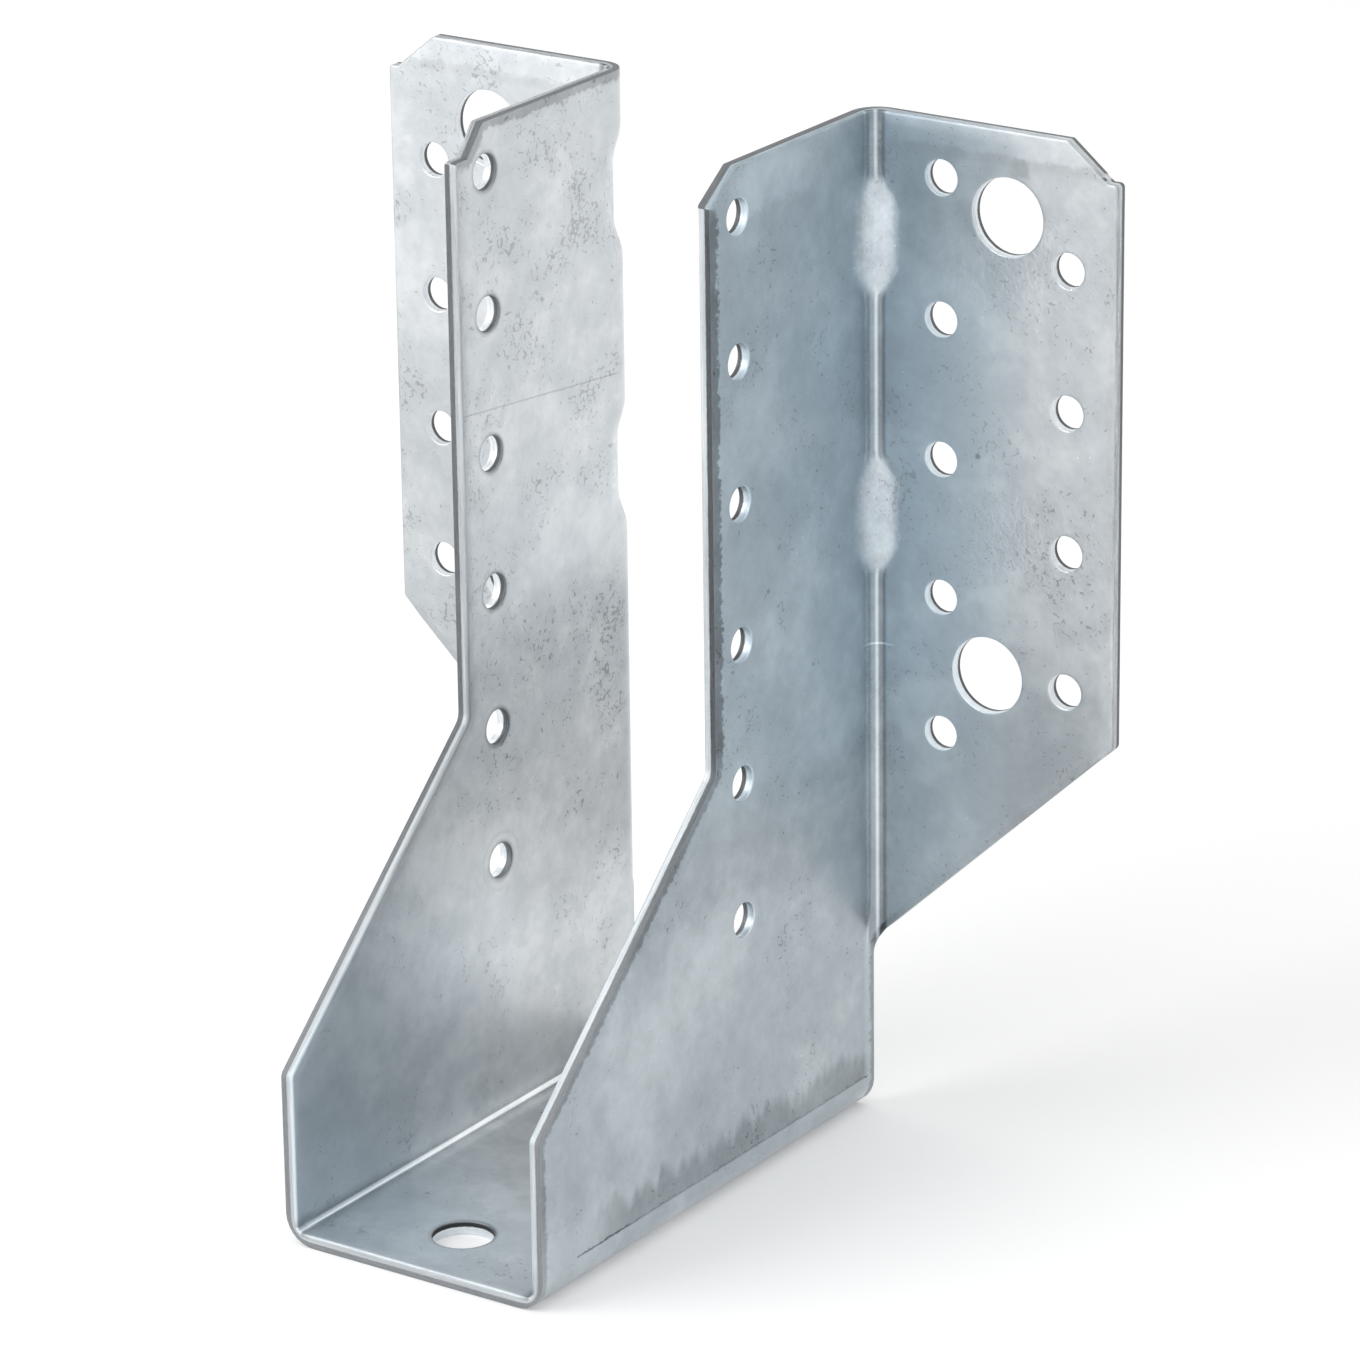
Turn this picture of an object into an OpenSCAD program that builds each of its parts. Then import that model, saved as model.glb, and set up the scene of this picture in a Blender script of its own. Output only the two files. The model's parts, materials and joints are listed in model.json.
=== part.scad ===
// Face-fixed joist hanger, folded from one blank of galvanised sheet.
// X runs across the joist and Y towards the header beam. Z is up from the underside of the seat.

/* [Sheet] */
// Thickness of the sheet
sheet_t = 2; // [1.5:0.1:3]
// Inside radius of the two bends along the seat
seat_bend_r = 2.5; // [1:0.25:4]
// Inside radius of the two upright bends at the header flanges
header_bend_r = 2; // [1:0.25:3]

/* [Joist pocket] */
// Clear width between the walls
joist_gap = 39; // [30:0.5:120]
// Height of the walls above the seat
wall_h = 145; // [130:1:220]
// Depth of the walls at the top, from the header face
wall_d = 41.5; // [34:0.5:60]
// Depth of the seat, from the header face
seat_d = 84; // [70:1:120]
// Height of the upright front edge above the seat
nose_h = 23; // [10:1:35]
// Height above the seat where the slope meets the upper front edge
slope_h = 61; // [45:1:90]
// How far the wall's back edge stands in front of the header face, below the flanges
back_inset = 2.2; // [0:0.1:3]

/* [Header flanges] */
// Distance from the outer column of nails to a flange's outer edge
outer_nail_edge = 7.5; // [5:0.5:20]
// Length of a flange's straight outer edge below its lowest outer nail
edge_below_nail = 7; // [5:0.5:20]
// Height above the seat where a flange's slope meets its wall
flange_root_h = 24; // [12:1:40]
// Radius where that slope runs into the wall's back edge
relief_r = 4; // [2:0.5:6]

/* [Corner cuts] */
// Length of the cut along the top edge of a wall
wall_cut_run = 6.2; // [3:0.1:10]
// Height of the cut in a wall's front edge
wall_cut_drop = 4.3; // [2:0.1:8]
// Step left by the corner punch on the left wall
left_wall_step = 2.6; // [0:0.1:3]
// Length of the cut along the top edge of a flange
flange_cut_run = 7.8; // [4:0.1:12]
// Height of the cut in a flange's outer edge
flange_cut_drop = 5.1; // [3:0.1:8]
// Step left by the corner punch on both flanges
flange_step = 1.5; // [0:0.1:3]

/* [Nail holes] */
// Diameter of a nail hole
nail_d = 5; // [3.5:0.1:6]
// Distance between neighbouring nails in a column
nail_pitch = 20; // [15:0.5:24]
// Nails in each wall
wall_nails = 6; // [3:1:6]
// Height of the top edge above the top nail in a wall
wall_nail_top = 7; // [5:0.5:12]
// Distance from a wall's front edge to its nails
wall_nail_edge = 6.5; // [5:0.5:12]
// Nails in a flange's inner column
inner_nails = 5; // [3:1:5]
// Height of the top edge above the top nail of the inner column
inner_nail_top = 8; // [6:0.5:12]
// Distance from the wall's outer face to the inner column
inner_nail_x = 11; // [9:0.5:14]
// Distance between the inner and the outer column
column_gap = 20; // [18:0.5:28]

/* [Bolt holes] */
// Diameter of a header bolt hole
bolt_d = 11; // [8:0.5:13]
// Height of the top edge above the upper bolt
upper_bolt_top = 12; // [9:0.5:20]
// Height of the upper bolt above the lower one
bolt_rise = 66; // [62:0.5:68]
// How far the upper bolt lies outward of the middle between the columns
upper_bolt_out = 0.5; // [0:0.5:2]
// How far the lower bolt lies inward of the middle between the columns
lower_bolt_in = 2.5; // [0:0.5:3]
// Diameter of the hole in the seat
seat_hole_d = 8.5; // [4:0.5:12]
// Distance from the seat's front edge to its hole
seat_hole_edge = 11.5; // [9:0.5:20]

/* [Stiffening ribs] */
// Ribs pressed into each header bend
ribs = 2; // [0:1:2]
// Length of a rib along the bend
rib_len = 16.5; // [10:0.5:20]
// Reach of a rib's face from the corner, along the wall
rib_leg = 2.6; // [2:0.1:4]
// Height of the top edge above the middle of the top rib
rib_top = 17.5; // [12:0.5:25]
// Distance between neighbouring ribs
rib_pitch = 40; // [25:1:45]

/* [Hidden] */
$fn = 96;
steel = [0.66, 0.70, 0.72];
// Longer than the whole part
far = 400;
// How far a corner cutter reaches past the corner
past = 1;

wall_in = joist_gap / 2;
wall_out = wall_in + sheet_t;
header_bend_out = header_bend_r + sheet_t;
seat_bend_out = seat_bend_r + sheet_t;

// The outer column sits half a pitch below the inner one and has one nail fewer.
outer_nails = inner_nails - 1;
outer_nail_top = inner_nail_top + nail_pitch / 2;
flange_w = inner_nail_x + column_gap + outer_nail_edge;
flange_low = wall_h - outer_nail_top - (outer_nails - 1) * nail_pitch - edge_below_nail;
slope_angle = atan2(flange_low - flange_root_h, flange_w);
bolt_mid_x = inner_nail_x + column_gap / 2;

// The relief arc touches the flange's slope at its upper end and the wall's outer face at its lower end.
relief_reach = relief_r / tan((90 + slope_angle) / 2);
relief_low = flange_root_h - relief_reach;

// A rib's face is part of a cylinder that lies across the corner. Its hollow is part of a second one on the
// same axis, one sheet thickness smaller. Both leave the plain bend at the rib's two ends.
rib_face = rib_leg / sqrt(2);
rib_rise = rib_face - header_bend_r * (sqrt(2) - 1);
rib_r = (pow(rib_len / 2, 2) + pow(rib_rise, 2)) / (2 * rib_rise);

// A column of holes: their heights from the top one down.
function column(top, count) = [for (i = [0 : count - 1]) wall_h - top - i * nail_pitch];

// Turns an outline drawn as [x, z] into a solid from y = 0 to y = -depth.
module along_y(depth) {
    rotate([90, 0, 0]) linear_extrude(depth) children();
}

// Turns an outline drawn as [distance in front of the header face, z] into a solid from x = 0 to x = width.
module along_x(width) {
    rotate([90, 0, -90]) mirror([0, 0, 1]) linear_extrude(width) children();
}

// Puts one child on the right and its mirror image on the left.
module both_sides() {
    children();
    mirror([1, 0, 0]) children();
}

// The section across the seat: floor, two bends and two walls.
module stirrup_section() {
    difference() {
        union() {
            translate([-wall_out, seat_bend_r]) square([2 * wall_out, wall_h - seat_bend_r]);
            translate([-wall_out + seat_bend_out, -sheet_t])
                square([2 * (wall_out - seat_bend_out), wall_h]);
            for (x = [-1, 1])
                translate([x * (wall_out - seat_bend_out), seat_bend_r]) circle(r = seat_bend_out);
        }
        translate([-wall_in, seat_bend_r]) square([joist_gap, wall_h]);
        translate([-wall_in + seat_bend_r, 0]) square([joist_gap - 2 * seat_bend_r, wall_h]);
        for (x = [-1, 1])
            translate([x * (wall_in - seat_bend_r), seat_bend_r]) circle(r = seat_bend_r);
    }
}

// The side view of a wall and the seat, as distance in front of the header face and height above the seat.
module wall_outline() {
    polygon([
        [back_inset, -sheet_t],
        [seat_d, -sheet_t],
        [seat_d, nose_h],
        [wall_d, slope_h],
        [wall_d, wall_h],
        [header_bend_out, wall_h],
        [header_bend_out, relief_low],
        [back_inset, relief_low]
    ]);
}

// What the punch takes off a top corner at the origin: a sloping cut, then a small level step.
module corner_cut(run, drop, step) {
    polygon([[-run, 0], [-step, -drop], [past, -drop], [past, past], [-run, past]]);
}

// The plan of a header bend and its flange, on the right. The bend is the top left quarter of a ring.
module header_section() {
    translate([wall_in + header_bend_out, -sheet_t])
        square([flange_w - header_bend_r, sheet_t]);
    translate([wall_in + header_bend_out, -header_bend_out]) difference() {
        circle(r = header_bend_out);
        circle(r = header_bend_r);
        translate([0, -far / 2]) square(far);
        translate([-far / 2, -far]) square(far);
    }
}

// The front view of a header bend and its flange, on the right.
module flange_outline() {
    difference() {
        union() {
            polygon([
                [wall_in, wall_h],
                [wall_out + flange_w, wall_h],
                [wall_out + flange_w, flange_low],
                [wall_out, flange_root_h],
                [wall_out, relief_low],
                [wall_in, relief_low]
            ]);
            polygon([
                [wall_out, relief_low],
                [wall_out, flange_root_h],
                [wall_out + relief_reach * cos(slope_angle),
                    flange_root_h + relief_reach * sin(slope_angle)]
            ]);
        }
        translate([wall_out + relief_r, relief_low]) circle(r = relief_r);
        translate([wall_out + flange_w, wall_h])
            corner_cut(flange_cut_run, flange_cut_drop, flange_step);
    }
}

// Floor and walls, still without holes.
module stirrup() {
    difference() {
        intersection() {
            along_y(far) stirrup_section();
            translate([-far / 2, 0, 0]) along_x(far) wall_outline();
        }
        translate([0, -wall_d, wall_h]) along_x(far)
            corner_cut(wall_cut_run, wall_cut_drop, 0);
        translate([-far, -wall_d, wall_h]) along_x(far)
            corner_cut(wall_cut_run, wall_cut_drop, left_wall_step);
    }
}

// One header bend with its flange, on the right.
module header_flange() {
    intersection() {
        linear_extrude(2 * far, center = true) header_section();
        along_y(far) flange_outline();
    }
}

// A cylinder across the right header corner at height z, long enough to pass through the bend. Its skin
// stands rib_face from the corner, less the distance inward.
module rib_barrel(z, inward) {
    translate([wall_out, -sheet_t, z]) rotate([0, 0, -45]) translate([rib_face - rib_r, 0, 0])
        rotate([90, 0, 0])
            cylinder(r = rib_r - inward, h = 6 * header_bend_out, center = true, $fn = 360);
}

// The raised face of a rib, between the outer face of the wall and the front face of the flange.
module rib_nose(z) {
    intersection() {
        rib_barrel(z, 0);
        translate([wall_out - sheet_t / 2, -sheet_t - 2 * rib_leg, z - rib_len / 2])
            cube([2 * rib_leg + sheet_t / 2, 2 * rib_leg + sheet_t / 2, rib_len]);
    }
}

module wall_holes() {
    for (z = column(wall_nail_top, wall_nails))
        translate([0, -(wall_d - wall_nail_edge), z]) rotate([0, 90, 0])
            cylinder(d = nail_d, h = far, center = true);
}

module flange_hole(x, z, d) {
    translate([wall_out + x, -sheet_t / 2, z]) rotate([90, 0, 0])
        cylinder(d = d, h = 2 * sheet_t, center = true);
}

module flange_holes() {
    for (z = column(inner_nail_top, inner_nails)) flange_hole(inner_nail_x, z, nail_d);
    for (z = column(outer_nail_top, outer_nails)) flange_hole(inner_nail_x + column_gap, z, nail_d);
    flange_hole(bolt_mid_x + upper_bolt_out, wall_h - upper_bolt_top, bolt_d);
    flange_hole(bolt_mid_x - lower_bolt_in, wall_h - upper_bolt_top - bolt_rise, bolt_d);
}

module seat_hole() {
    translate([0, -(seat_d - seat_hole_edge), -sheet_t / 2])
        cylinder(d = seat_hole_d, h = 2 * sheet_t, center = true);
}

module hanger() {
    rib_heights = [for (i = [0 : 1 : ribs - 1]) wall_h - rib_top - i * rib_pitch];
    color(steel) translate([0, seat_d / 2, sheet_t]) difference() {
        union() {
            stirrup();
            both_sides() header_flange();
            both_sides() for (z = rib_heights) rib_nose(z);
        }
        both_sides() for (z = rib_heights) rib_barrel(z, sheet_t);
        wall_holes();
        both_sides() flange_holes();
        seat_hole();
    }
}

hanger();
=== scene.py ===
"""Looks of a face-fixed joist hanger: one blank of galvanised sheet, punched, folded and pressed.

The sheet is worked out flat first. A place on the blank has two coordinates: across, the distance from the
seat's middle measured over the fold and up a wall, and along, the distance towards the header measured over
the fold and out along a flange. The fold() function carries a flat place to its place on the finished part.
Lengths are in millimetres until a mesh is written.
"""
import json
import math

import bpy
import numpy as np
from mathutils import Matrix, Vector
from mathutils.geometry import delaunay_2d_cdt


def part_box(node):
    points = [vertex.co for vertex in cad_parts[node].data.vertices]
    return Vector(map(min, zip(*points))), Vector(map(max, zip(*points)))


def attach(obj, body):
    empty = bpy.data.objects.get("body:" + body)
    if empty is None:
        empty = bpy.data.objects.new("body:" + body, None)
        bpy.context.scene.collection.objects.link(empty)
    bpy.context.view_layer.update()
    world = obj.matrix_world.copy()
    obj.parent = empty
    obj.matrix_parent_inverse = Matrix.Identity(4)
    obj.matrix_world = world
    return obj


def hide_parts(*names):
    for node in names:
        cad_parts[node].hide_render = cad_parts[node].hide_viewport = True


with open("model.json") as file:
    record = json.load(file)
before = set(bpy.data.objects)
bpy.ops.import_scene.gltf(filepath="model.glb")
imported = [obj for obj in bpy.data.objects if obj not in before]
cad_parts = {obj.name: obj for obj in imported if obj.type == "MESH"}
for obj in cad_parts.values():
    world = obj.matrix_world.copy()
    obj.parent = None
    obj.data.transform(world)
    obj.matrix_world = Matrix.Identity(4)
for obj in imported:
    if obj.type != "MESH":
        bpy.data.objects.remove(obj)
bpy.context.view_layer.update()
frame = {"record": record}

MM = 0.001


# ---------------------------------------------------------------- sizes from the frame

def place(name):
    """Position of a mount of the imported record, in millimetres."""
    return np.array(next(m["pos_m"] for m in frame["record"]["mounts"] if m["name"] == name)) / MM


LOW, HIGH = (np.array(corner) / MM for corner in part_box("hanger"))
SHEET = place("joist_seat")[2]
HALF_GAP = abs(place("joist_cheek_right")[0])
HEADER_Y = place("header_face_right")[1]
FRONT_Y = LOW[1]
TOP_Z = HIGH[2]
FLANGE_X = HIGH[0]

# ---------------------------------------------------------------- sizes of the folds and the outline

SEAT_R = 2.5                    # inside radius of the two folds along the seat, as a plain bend has it
SEAT_TIGHT_R = 0.8              # radius that coining leaves on the joist's side of them instead
SEAT_TIGHT_FLAT = 0.2           # share of that side which each short flat beside the tight arc takes
SEAT_MID = SEAT_R + SHEET / 2   # radius of the sheet's middle there
HEADER_R = 2.0                  # inside radius of the two upright folds
HEADER_MID = HEADER_R + SHEET / 2
FOLD_REACH = 9.0                # header fold's corner to the fixed points that a rib's section lies between
SEAT_ARC = SEAT_MID * math.pi / 2        # length of the sheet's middle in a seat fold
HEADER_ARC = HEADER_MID * math.pi / 2    # and in a header fold
WALL_DEPTH = 41.5               # wall's front edge to the header face, above the slope
NOSE_Z = SHEET + 23.0           # foot of the slope, over the seat
SLOPE_Z = SHEET + 61.0          # head of the slope
BACK_INSET = 2.2                # wall's back edge to the header face, below the flanges
FLANGE_LOW_Z = SHEET + 60.0     # lower end of a flange's outer edge
FLANGE_ROOT_Z = SHEET + 24.0    # where a flange's slope meets its wall
RELIEF_R = 4.0                  # radius between that slope and the wall's back edge
CORNER_R = 0.6                  # roundness of the blank's outward corners
WALL_CUT = (6.2, 4.3)           # corner cut of a wall: along the top, down the front
LEFT_STEP = 2.6                 # step beside the left wall's cut
FLANGE_CUT = (7.8, 5.1)         # corner cut of a flange: along the top, down the side
FLANGE_STEP = 1.5               # step beside a flange's cut
RIB_TOPS = (17.5, 57.5)         # top edge to the middle of each rib
RIB_HALF = 9.6                  # half the length of a rib
RIB_SHOULDER = 0.55             # share of that half over which a rib rises at each end
RIB_REACH = 3.45                # rib's middle surface to the corner, along the wall
RIB_WALL_R = 6.6                # radius between a rib and its wall
RIB_FLANGE_R = 4.0              # radius between a rib and its flange

BLANK_UNIT = 100.0              # millimetres of the blank in one unit of the UV map

# Places on the flat blank
SEAT_HALF = HALF_GAP - SEAT_R                    # across: the seat's flat part ends
WALL_FOOT = SEAT_HALF + SEAT_ARC                 # across: the wall's flat part starts
WALL_FOOT_Z = SHEET + SEAT_R
BLANK_TOP = WALL_FOOT + TOP_Z - WALL_FOOT_Z      # across: top edge
BEND_Y = HEADER_Y - SHEET - HEADER_R             # along: the header fold starts
FLANGE_FOOT = BEND_Y + HEADER_ARC                # along: the flange's flat part starts
FLANGE_FOOT_X = HALF_GAP + SHEET + HEADER_R
BLANK_SIDE = FLANGE_FOOT + FLANGE_X - FLANGE_FOOT_X


def across(z):
    """Blank coordinate of a height on a wall or a flange."""
    return WALL_FOOT + z - WALL_FOOT_Z


def out(x):
    """Blank coordinate of a distance from the middle plane on a flange."""
    return FLANGE_FOOT + x - FLANGE_FOOT_X


def smooth(x, low, high):
    """0 below low, 1 above high, and the curve 3t^2 - 2t^3 between."""
    t = np.clip((x - low) / (high - low), 0, 1)
    return t * t * (3 - 2 * t)


# ---------------------------------------------------------------- folding

def rib_share(z):
    """How far a rib is pressed at height z: a smooth step at each end, times a slight crown between."""
    share = np.zeros_like(z)
    for drop in RIB_TOPS:
        u = np.abs(z - (TOP_Z - drop)) / RIB_HALF
        share = np.maximum(share, smooth(1 - u, 0, RIB_SHOULDER) * (1 - 0.1 * u ** 2))
    return share


def header_fold(along, z):
    """Section through a header fold: the wall, a 45 degree arc, a chord, a 45 degree arc and the flange.

    The chord has no length in a plain fold and grows in a rib, where the wall's arc also widens and the
    flange's arc tightens. The section between two fixed points is stretched evenly to the blank's length.
    Below the flange's root the fold dies out, its radius growing until the sheet is flat. Returns the
    distance outward, the distance along and the angle turned.
    """
    tangent = math.tan(math.pi / 8)     # a 45 degree arc's tangent over its radius
    diagonal = math.sqrt(0.5)
    share = rib_share(z)
    wall_r = HEADER_MID + (RIB_WALL_R - HEADER_MID) * share
    flange_r = HEADER_MID + (RIB_FLANGE_R - HEADER_MID) * share
    plain_cut = HEADER_MID * 2 * tangent * diagonal
    corner_cut = plain_cut + (RIB_REACH - plain_cut) * share
    chord = corner_cut / diagonal - (wall_r + flange_r) * tangent
    first = FOLD_REACH - corner_cut - wall_r * tangent
    last = FOLD_REACH - corner_cut - flange_r * tangent
    wall_arc = wall_r * math.pi / 4
    flange_arc = flange_r * math.pi / 4
    length = first + wall_arc + chord + flange_arc + last
    blank = 2 * (FOLD_REACH - HEADER_MID) + HEADER_ARC
    start = BEND_Y + HEADER_MID - FOLD_REACH
    run = np.clip((along - start) / blank, 0, 1) * length
    beyond = np.maximum(along - start - blank, 0)
    before = np.minimum(along - start, 0)
    wall_run = np.clip(run, 0, first)
    wall_turn = np.clip(run - first, 0, wall_arc) / wall_r
    chord_run = np.clip(run - first - wall_arc, 0, chord)
    flange_turn = np.clip(run - first - wall_arc - chord, 0, flange_arc) / flange_r
    flange_run = np.clip(run - length + last, 0, last)
    outward = (wall_r * (1 - np.cos(wall_turn)) + chord_run * diagonal
               + flange_r * (diagonal - np.cos(flange_turn + math.pi / 4)) + flange_run)
    forward = (wall_run + wall_r * np.sin(wall_turn) + chord_run * diagonal
               + flange_r * (np.sin(flange_turn + math.pi / 4) - diagonal))
    angle = wall_turn + flange_turn
    strength = smooth(z, FLANGE_ROOT_Z - 2.6, FLANGE_ROOT_Z + 0.6)
    past = np.maximum(along - BEND_Y, 0)
    turn = strength * np.minimum(past, HEADER_ARC) / HEADER_MID
    safe = np.maximum(turn, 1e-6)
    soft_out = past * (1 - np.cos(safe)) / safe
    soft_forward = np.minimum(along, BEND_Y) + past * np.sin(safe) / safe
    soft = strength < 1
    outward = np.where(soft, soft_out, outward + beyond)
    forward = np.where(soft, soft_forward, start + before + forward)
    angle = np.where(soft, turn, angle)
    return outward, forward, angle


def tight_corner(share):
    """Joist's side of a seat fold, over the share of the fold from 0 to 1: a flat, a tight arc and a flat.

    Returns how far the surface has gone across and up from the start of the fold.
    """
    run = SEAT_R - SEAT_TIGHT_R
    angle = np.clip((share - SEAT_TIGHT_FLAT) / (1 - 2 * SEAT_TIGHT_FLAT), 0, 1) * math.pi / 2
    across_run = np.clip(share / SEAT_TIGHT_FLAT, 0, 1) * run
    up_run = np.clip((share - 1 + SEAT_TIGHT_FLAT) / SEAT_TIGHT_FLAT, 0, 1) * run
    return across_run + SEAT_TIGHT_R * np.sin(angle), up_run + SEAT_TIGHT_R * (1 - np.cos(angle))


def fold(flat, level):
    """Places on the finished part of places on the blank. level is -1 on the joist's side and 1 outside."""
    side = np.sign(flat[:, 0])
    a, along = np.abs(flat[:, 0]), flat[:, 1]
    turn = np.clip((a - SEAT_HALF) / SEAT_MID, 0, math.pi / 2)
    x = np.minimum(a, SEAT_HALF) + SEAT_MID * np.sin(turn)
    z = WALL_FOOT_Z - SEAT_MID * np.cos(turn) + np.maximum(a - WALL_FOOT, 0)
    outward, forward, angle = header_fold(along, z)
    x = x + outward
    normal = np.stack([np.sin(turn) * np.cos(angle), -np.sin(turn) * np.sin(angle), -np.cos(turn)], 1)
    spots = np.stack([x, forward, z], 1) + normal * (level * SHEET / 2)[:, None]
    tight_across, tight_up = tight_corner(turn * 2 / math.pi)
    inner_share = (1 - level) / 2
    spots[:, 0] += inner_share * (tight_across - SEAT_R * np.sin(turn))
    spots[:, 2] += inner_share * (tight_up - SEAT_R * (1 - np.cos(turn)))
    spots[:, 0] *= side + (side == 0)
    return spots


# ---------------------------------------------------------------- outline of the blank

def rounded(corners, radii, step):
    """Closed outline through corners, each replaced by an arc of its radius, with points step apart."""
    corners = np.array(corners, float)
    radii = np.array(radii, float)
    into = corners - np.roll(corners, 1, 0)
    into /= np.linalg.norm(into, axis=1)[:, None]
    leave = np.roll(into, -1, 0)
    turn = np.arctan2(into[:, 0] * leave[:, 1] - into[:, 1] * leave[:, 0], (into * leave).sum(1))
    reach = radii * np.tan(np.abs(turn) / 2)
    pieces = []
    for i, corner in enumerate(corners):
        start = corner - into[i] * reach[i]
        side = np.sign(turn[i]) * np.array([-into[i, 1], into[i, 0]])
        centre = start + side * radii[i]
        count = max(2, int(np.ceil(abs(turn[i]) * radii[i] / (step * 0.4))) + 2)
        angles = np.linspace(0, abs(turn[i]), count)[:, None]
        pieces.append(centre - side * radii[i] * np.cos(angles) + into[i] * radii[i] * np.sin(angles))
        j = (i + 1) % len(corners)
        end = corners[j] - into[j] * reach[j]
        gap = end - pieces[-1][-1]
        count = max(1, int(round(np.linalg.norm(gap) / step)))
        pieces.append(pieces[-1][-1] + gap * (np.arange(1, count) / count)[:, None])
    return np.concatenate(pieces)


def blank_corners():
    """Corners of the blank and their radii, round the right half and back round the left one."""
    wall_front = HEADER_Y - WALL_DEPTH
    back = HEADER_Y - BACK_INSET
    slope = (FLANGE_LOW_Z - FLANGE_ROOT_Z) / (FLANGE_X - HALF_GAP - SHEET)
    root = across(FLANGE_ROOT_Z + HEADER_R * slope) - (FLANGE_FOOT - back) * slope

    def half(step):
        front_cut = [(BLANK_TOP - WALL_CUT[1], wall_front)]
        if step:
            front_cut.append((BLANK_TOP - WALL_CUT[1], wall_front + step))
        return [
            ((across(NOSE_Z), FRONT_Y), 1.5),
            ((across(SLOPE_Z), wall_front), 2.5),
            (front_cut[0], CORNER_R),
            *[(corner, 0.3) for corner in front_cut[1:]],
            ((BLANK_TOP, wall_front + WALL_CUT[0]), CORNER_R),
            ((BLANK_TOP, BLANK_SIDE - FLANGE_CUT[0]), CORNER_R),
            ((BLANK_TOP - FLANGE_CUT[1], BLANK_SIDE - FLANGE_STEP), 0.3),
            ((BLANK_TOP - FLANGE_CUT[1], BLANK_SIDE), CORNER_R),
            ((across(FLANGE_LOW_Z), BLANK_SIDE), 1.0),
            ((root, back), RELIEF_R),
        ]

    right = half(0)
    left = [((-a, b), r) for (a, b), r in half(LEFT_STEP)][::-1]
    corners = right + left
    return [c for c, _ in corners], [r for _, r in corners]


def hole_list():
    """Centre on the blank, radius and number of points of each hole, from the mounts in the record."""
    holes = []
    for m in frame["record"]["mounts"]:
        centre = np.array(m["pos_m"]) / MM
        dims = m["dims"]
        if m["kind"] == "bore":
            holes.append((centre[0], centre[1], dims["r_mm"], 56))
        if m["kind"] != "bolt_pattern":
            continue
        dx = dims.get("spacing_x_mm", 0) / 2
        dy = dims.get("spacing_y_mm", 0) / 2
        for i in sorted({-dx, dx}):
            for j in sorted({-dy, dy}):
                if abs(m["axis"][1]) > 0.5:
                    x, z = centre[0] + i, centre[2] + j
                    spot = (np.sign(x) * across(z), out(abs(x)))
                else:
                    spot = (np.sign(centre[0]) * across(centre[2] + j), centre[1] + i)
                holes.append((*spot, dims["hole_r_mm"], 40 if dims["hole_r_mm"] < 4 else 72))
    return holes


def circle(centre_a, centre_b, radius, count):
    """Points round a hole, running the other way from the outline, so that inward is into the metal."""
    angle = -np.arange(count) * 2 * math.pi / count
    return np.stack([centre_a + radius * np.cos(angle), centre_b + radius * np.sin(angle)], 1)


def inward(loop):
    """Unit vectors from a loop's points into the metal: its tangents turned a quarter to the left."""
    tangent = np.roll(loop, -1, 0) - np.roll(loop, 1, 0)
    tangent /= np.linalg.norm(tangent, axis=1)[:, None]
    return np.stack([-tangent[:, 1], tangent[:, 0]], 1)


# ---------------------------------------------------------------- cut edges

RIM = 0.55                  # width of the strip beside a cut edge
RIM_ROUND = 5               # points in each rounded corner of a cut edge
ROLL_DEPTH = 0.66           # depth of such a corner over its width
HOLE_ROLLS = (0.20, 0.40)   # widths of a hole's two rounded corners: outside and on the joist's side
PUNCH_ROLLS = (0.32, 0.36)  # widths of the outline's where the punch came from: outside, and from the joist
FAR_ROLL = 0.12             # width of the outline's corner on the far side from the punch
DROOP_OUTSIDE = (0.05, 2.4)     # depth and width of the draw-down beside a cut made from outside
DROOP_INSIDE = (0.13, 1.7)      # and beside one made from the joist's side
DROOP_ROWS = (1.2, 2.0, 2.9)    # distances from the outline of the extra rows of points beside it


def cut_outside(spots):
    """1 where the blank was cut from outside: its top, its top corners and the flanges' upright edges."""
    foot = BLANK_TOP - WALL_CUT[1]
    top = smooth(np.abs(spots[:, 0]), foot - 0.5, foot + 0.1)
    side = smooth(spots[:, 1], BLANK_SIDE - 3, BLANK_SIDE - 1)
    return np.maximum(top, side)


def droop(distance, outside):
    """How far the sheet is drawn down beside its outline, outside and on the joist's side, in millimetres.

    Each falls as the square of what is left of its width, on the side that the punch came from.
    """
    outer_depth, outer_width = DROOP_OUTSIDE
    inner_depth, inner_width = DROOP_INSIDE
    drawn_outside = outer_depth * outside * np.maximum(1 - distance / outer_width, 0) ** 2
    drawn_inside = inner_depth * (1 - outside) * np.maximum(1 - distance / inner_width, 0) ** 2
    return drawn_outside, drawn_inside


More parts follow.
